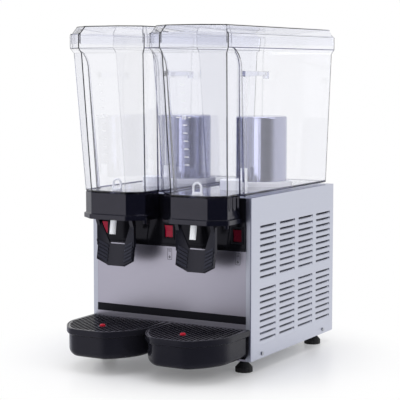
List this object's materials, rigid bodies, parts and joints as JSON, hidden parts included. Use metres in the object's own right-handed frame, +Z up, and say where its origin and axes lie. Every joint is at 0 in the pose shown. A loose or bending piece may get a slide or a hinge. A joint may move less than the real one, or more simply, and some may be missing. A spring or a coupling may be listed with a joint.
{
  "type": "cold drink dispenser",
  "caption": "Counter-top cold drink dispenser: clear chamfered bowls with lids stand over cooling drums on a louvred steel cabinet, with fork-lever taps and slotted drip trays.",
  "frame": {"origin": "on the floor under the middle of the whole object, feet at z = 0", "axes": "+Z up, -Y towards the taps at the front, +X to the right as seen from the front"},
  "size_m": [0.384, 0.581, 0.7005],
  "materials": {
    "galvanised": "dull zinc",
    "side_steel": "satin",
    "brushed_front": "brushed",
    "deck_steel": "satin",
    "drum_steel": "polished",
    "screw_steel": "plain",
    "spring_steel": "plain",
    "magnet": "plain",
    "fin_aluminium": "plain",
    "copper_line": "plain",
    "black_paint": "gloss",
    "black_satin": "satin",
    "black_gloss": "gloss",
    "black_lever": "semi-gloss",
    "black_rubber": "matt",
    "white_plastic": "satin",
    "white_rubber": "matt",
    "fan_plastic": "satin",
    "clear_bowl": "clear, polished",
    "clear_tube": "clear",
    "red_rocker": "gloss",
    "red_float": "gloss"
  },
  "bodies": {
    "cabinet": {"base_pan": "galvanised", "left_side_panel": "side_steel", "right_side_panel": "side_steel", "front_panel": "brushed_front", "tap_panel": "black_satin", "trim_strip": "black_satin", "top_deck": "deck_steel", "rear_panel": "side_steel", "feet": "black_rubber", "panel_screws": "screw_steel", "compressor": "black_paint", "compressor_grommets": "black_rubber", "condenser": "fin_aluminium", "fan_bracket": "galvanised", "fan_motor": "black_paint", "refrigerant_lines": "copper_line", "control_box": "white_plastic", "thermostat": "white_plastic", "cable_gland": "black_satin", "switch_housings": "black_satin", "pump_motors": "galvanised", "left_cooling_drum": "drum_steel", "left_drum_seal": "white_rubber", "right_cooling_drum": "drum_steel", "right_drum_seal": "white_rubber"},
    "fan": {"fan_blade": "fan_plastic"},
    "knob": {"thermostat_knob": "black_satin"},
    "left_switch": {"left_rocker": "red_rocker"},
    "middle_switch": {"middle_rocker": "red_rocker"},
    "right_switch": {"right_rocker": "red_rocker"},
    "left_bowl_unit": {"left_bowl": "clear_bowl", "left_nose_cover": "black_gloss", "left_tap_body": "white_plastic", "left_pump_cover": "white_plastic", "left_spray_tube": "clear_tube", "left_valve_spring": "spring_steel"},
    "left_lid_unit": {"left_lid": "clear_bowl"},
    "left_tap_lever": {"left_lever": "black_lever"},
    "left_valve": {"left_valve_plunger": "white_plastic", "left_valve_seal": "white_rubber"},
    "left_magnet": {"left_drive_magnet": "magnet"},
    "left_rotor": {"left_impeller": "white_plastic"},
    "left_tray": {"left_drip_tray": "black_gloss"},
    "left_grid": {"left_drip_grid": "black_gloss"},
    "left_float_unit": {"left_float": "red_float"},
    "right_bowl_unit": {"right_bowl": "clear_bowl", "right_nose_cover": "black_gloss", "right_tap_body": "white_plastic", "right_pump_cover": "white_plastic", "right_spray_tube": "clear_tube", "right_valve_spring": "spring_steel"},
    "right_lid_unit": {"right_lid": "clear_bowl"},
    "right_tap_lever": {"right_lever": "black_lever"},
    "right_valve": {"right_valve_plunger": "white_plastic", "right_valve_seal": "white_rubber"},
    "right_magnet": {"right_drive_magnet": "magnet"},
    "right_rotor": {"right_impeller": "white_plastic"},
    "right_tray": {"right_drip_tray": "black_gloss"},
    "right_grid": {"right_drip_grid": "black_gloss"},
    "right_float_unit": {"right_float": "red_float"}
  },
  "joints": [
    {"name": "fan_spin", "type": "hinge", "parent": "cabinet", "child": "fan", "pos_m": [-0.11, 0.0835, 0.1212], "axis": [1, 0, 0], "continuous": true},
    {"name": "knob_turn", "type": "hinge", "parent": "cabinet", "child": "knob", "pos_m": [0.12, 0.2795, 0.275], "axis": [0, 1, 0], "range_deg": [0, 270]},
    {"name": "left_switch_tip", "type": "hinge", "parent": "cabinet", "child": "left_switch", "pos_m": [-0.16, -0.1195, 0.281], "axis": [1, 0, 0], "range_deg": [-16, 0]},
    {"name": "middle_switch_tip", "type": "hinge", "parent": "cabinet", "child": "middle_switch", "pos_m": [0, -0.1195, 0.281], "axis": [1, 0, 0], "range_deg": [-16, 0]},
    {"name": "right_switch_tip", "type": "hinge", "parent": "cabinet", "child": "right_switch", "pos_m": [0.16, -0.1195, 0.281], "axis": [1, 0, 0], "range_deg": [-16, 0]},
    {"name": "left_bowl_lift", "type": "slide", "parent": "cabinet", "child": "left_bowl_unit", "axis": [0, 0, 1], "range_m": [0, 0.18]},
    {"name": "left_lid_lift", "type": "slide", "parent": "left_bowl_unit", "child": "left_lid_unit", "axis": [0, 0, 1], "range_m": [0, 0.08]},
    {"name": "left_lever_swing", "type": "hinge", "parent": "left_bowl_unit", "child": "left_tap_lever", "pos_m": [-0.095, -0.1885, 0.3227], "axis": [1, 0, 0], "range_deg": [0, 16], "stiffness_Nm_per_rad": 0.8, "springref_deg": -11.46, "deforming": ["left_valve_spring"]},
    {"name": "left_valve_lift", "type": "slide", "parent": "left_bowl_unit", "child": "left_valve", "axis": [0, 0, 1], "range_m": [0, 0.0046]},
    {"name": "left_magnet_spin", "type": "hinge", "parent": "cabinet", "child": "left_magnet", "pos_m": [-0.095, -0.0225, 0.34], "axis": [0, 0, 1], "continuous": true},
    {"name": "left_rotor_spin", "type": "hinge", "parent": "left_bowl_unit", "child": "left_rotor", "pos_m": [-0.095, -0.0225, 0.37], "axis": [0, 0, 1], "continuous": true},
    {"name": "left_tray_lift", "type": "slide", "parent": "cabinet", "child": "left_tray", "axis": [0, 0, 1], "range_m": [0, 0.009]},
    {"name": "left_grid_lift", "type": "slide", "parent": "left_tray", "child": "left_grid", "axis": [0, 0, 1], "range_m": [0, 0.06]},
    {"name": "left_float_rise", "type": "slide", "parent": "left_tray", "child": "left_float_unit", "axis": [0, 0, 1], "range_m": [0, 0.008]},
    {"name": "right_bowl_lift", "type": "slide", "parent": "cabinet", "child": "right_bowl_unit", "axis": [0, 0, 1], "range_m": [0, 0.18]},
    {"name": "right_lid_lift", "type": "slide", "parent": "right_bowl_unit", "child": "right_lid_unit", "axis": [0, 0, 1], "range_m": [0, 0.08]},
    {"name": "right_lever_swing", "type": "hinge", "parent": "right_bowl_unit", "child": "right_tap_lever", "pos_m": [0.095, -0.1885, 0.3227], "axis": [1, 0, 0], "range_deg": [0, 16], "stiffness_Nm_per_rad": 0.8, "springref_deg": -11.46, "deforming": ["right_valve_spring"]},
    {"name": "right_valve_lift", "type": "slide", "parent": "right_bowl_unit", "child": "right_valve", "axis": [0, 0, 1], "range_m": [0, 0.0046]},
    {"name": "right_magnet_spin", "type": "hinge", "parent": "cabinet", "child": "right_magnet", "pos_m": [0.095, -0.0225, 0.34], "axis": [0, 0, 1], "continuous": true},
    {"name": "right_rotor_spin", "type": "hinge", "parent": "right_bowl_unit", "child": "right_rotor", "pos_m": [0.095, -0.0225, 0.37], "axis": [0, 0, 1], "continuous": true},
    {"name": "right_tray_lift", "type": "slide", "parent": "cabinet", "child": "right_tray", "axis": [0, 0, 1], "range_m": [0, 0.009]},
    {"name": "right_grid_lift", "type": "slide", "parent": "right_tray", "child": "right_grid", "axis": [0, 0, 1], "range_m": [0, 0.06]},
    {"name": "right_float_rise", "type": "slide", "parent": "right_tray", "child": "right_float_unit", "axis": [0, 0, 1], "range_m": [0, 0.008]}
  ],
  "couplings": [
    {"joint": "left_valve_lift", "follows": "left_lever_swing", "m_per_rad": 0.016},
    {"joint": "left_rotor_spin", "follows": "left_magnet_spin", "ratio": 1},
    {"joint": "right_valve_lift", "follows": "right_lever_swing", "m_per_rad": 0.016},
    {"joint": "right_rotor_spin", "follows": "right_magnet_spin", "ratio": 1}
  ]
}
